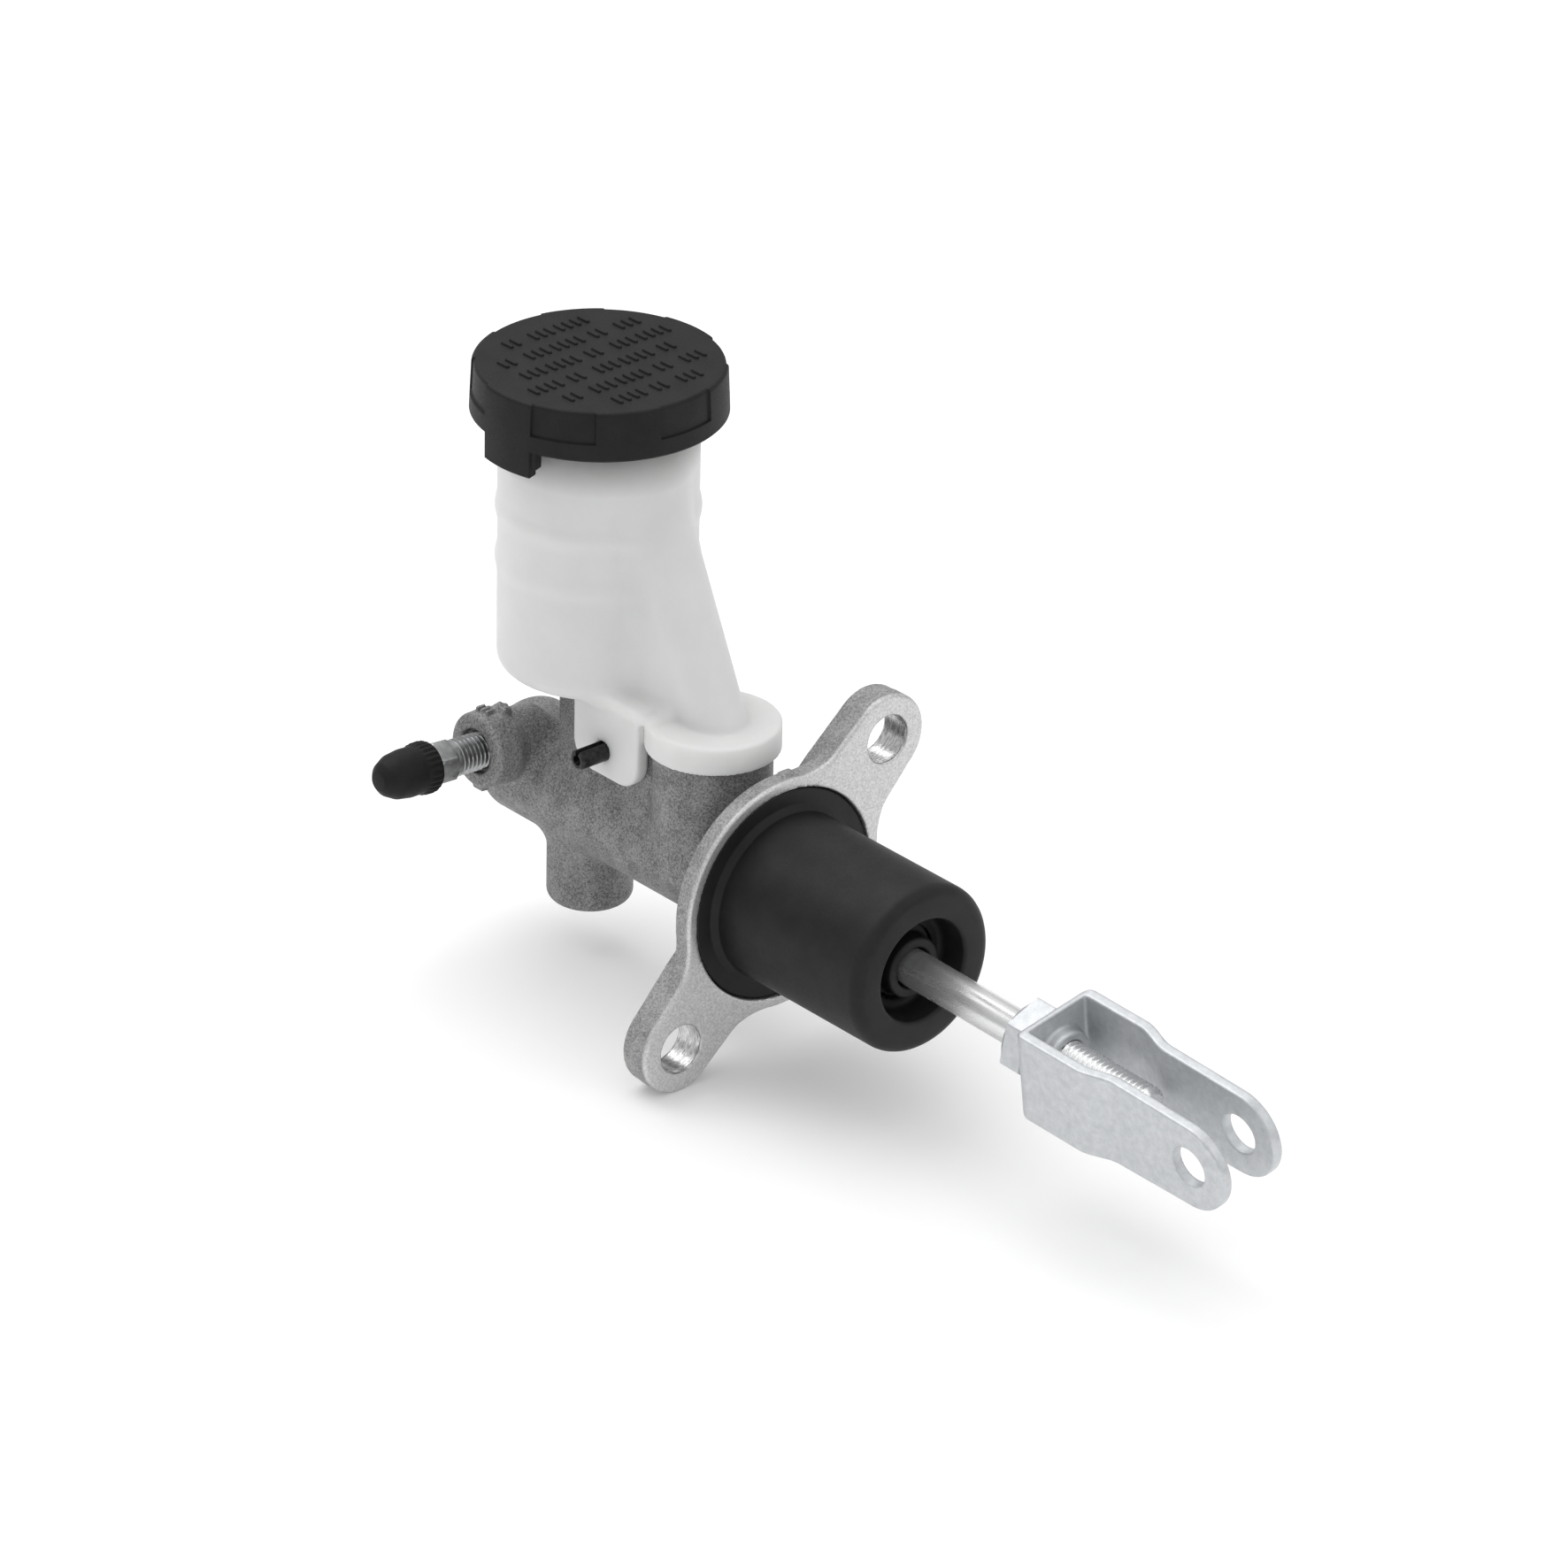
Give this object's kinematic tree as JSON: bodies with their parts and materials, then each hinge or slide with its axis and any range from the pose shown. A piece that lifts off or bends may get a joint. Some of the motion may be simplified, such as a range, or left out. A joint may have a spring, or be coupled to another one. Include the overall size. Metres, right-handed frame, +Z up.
{
  "type": "brake master cylinder",
  "caption": "Hydraulic master cylinder with a cast body, two-ear flange, screw-capped reservoir, rubber boot and a push rod with a clevis.",
  "frame": {"origin": "centre of the flange's front face, on the bore axis", "axes": "+X along the bore towards the clevis, +Z up to the reservoir cap, -Y towards the bleed screw"},
  "size_m": [0.206, 0.0777, 0.1255],
  "materials": {
    "cast_aluminium": "grainy die casting with machined holes",
    "machined_aluminium": "turned",
    "brass": "turned",
    "plated_steel": "bright zinc plate",
    "spring_steel": "drawn wire",
    "black_steel": "black oxide",
    "milky_plastic": "translucent moulded polypropylene",
    "white_plastic": "moulded",
    "black_plastic": "fine matte texture",
    "rubber": "moulded",
    "boot_rubber": "satin moulded"
  },
  "bodies": {
    "housing": {"cylinder_body": "cast_aluminium", "outlet_seat": "brass", "inlet_grommet": "rubber", "reservoir": "milky_plastic", "reservoir_pin": "black_steel", "stop_washer": "plated_steel", "circlip": "black_steel", "dust_boot": "boot_rubber"},
    "piston_group": {"piston": "machined_aluminium", "primary_cup": "rubber", "cup_washer": "brass", "secondary_cup": "rubber", "spring_seat": "white_plastic", "return_spring": "spring_steel"},
    "rod": {"push_rod": "plated_steel"},
    "fork": {"lock_nut": "plated_steel", "clevis": "plated_steel"},
    "seal": {"cap_diaphragm": "rubber"},
    "cap": {"reservoir_cap": "black_plastic"},
    "bleeder": {"bleed_screw": "plated_steel"},
    "bleeder_cap": {"bleed_cap": "rubber"}
  },
  "joints": [
    {"name": "piston_slide", "type": "slide", "parent": "housing", "child": "piston_group", "axis": [-1, 0, 0], "range_m": [0, 0.025], "stiffness_N_per_m": 1500, "springref_m": -0.012, "deforming": ["return_spring"]},
    {"name": "rod_swing", "type": "hinge", "parent": "piston_group", "child": "rod", "pos_m": [0.02, 0, 0], "axis": [0, 0.8793, 0.4763], "range_deg": [-1.9, 0]},
    {"name": "clevis_turn", "type": "hinge", "parent": "rod", "child": "fork", "pos_m": [0.02, 0, 0], "axis": [0.9985, 0.0258, -0.0476], "continuous": true},
    {"name": "cap_turn", "type": "hinge", "parent": "seal", "child": "cap", "pos_m": [-0.0556, 0, 0.085], "axis": [0, 0, 1], "range_deg": [0, 450]},
    {"name": "cap_lift", "type": "slide", "parent": "housing", "child": "seal", "axis": [0, 0, 1], "range_m": [0, 0.0041]},
    {"name": "bleed_screw_turn", "type": "hinge", "parent": "housing", "child": "bleeder", "pos_m": [-0.069, -0.0193, 0.009], "axis": [0, -0.9986, 0.0523], "range_deg": [0, 360]},
    {"name": "bleed_cap_pull", "type": "slide", "parent": "bleeder", "child": "bleeder_cap", "axis": [0, -0.9986, 0.0523], "range_m": [0, 0.011]}
  ],
  "couplings": [
    {"joint": "rod_swing", "follows": "piston_slide", "rad_per_m": -1.3211},
    {"joint": "cap_lift", "follows": "cap_turn", "m_per_rad": 0.0005093}
  ]
}
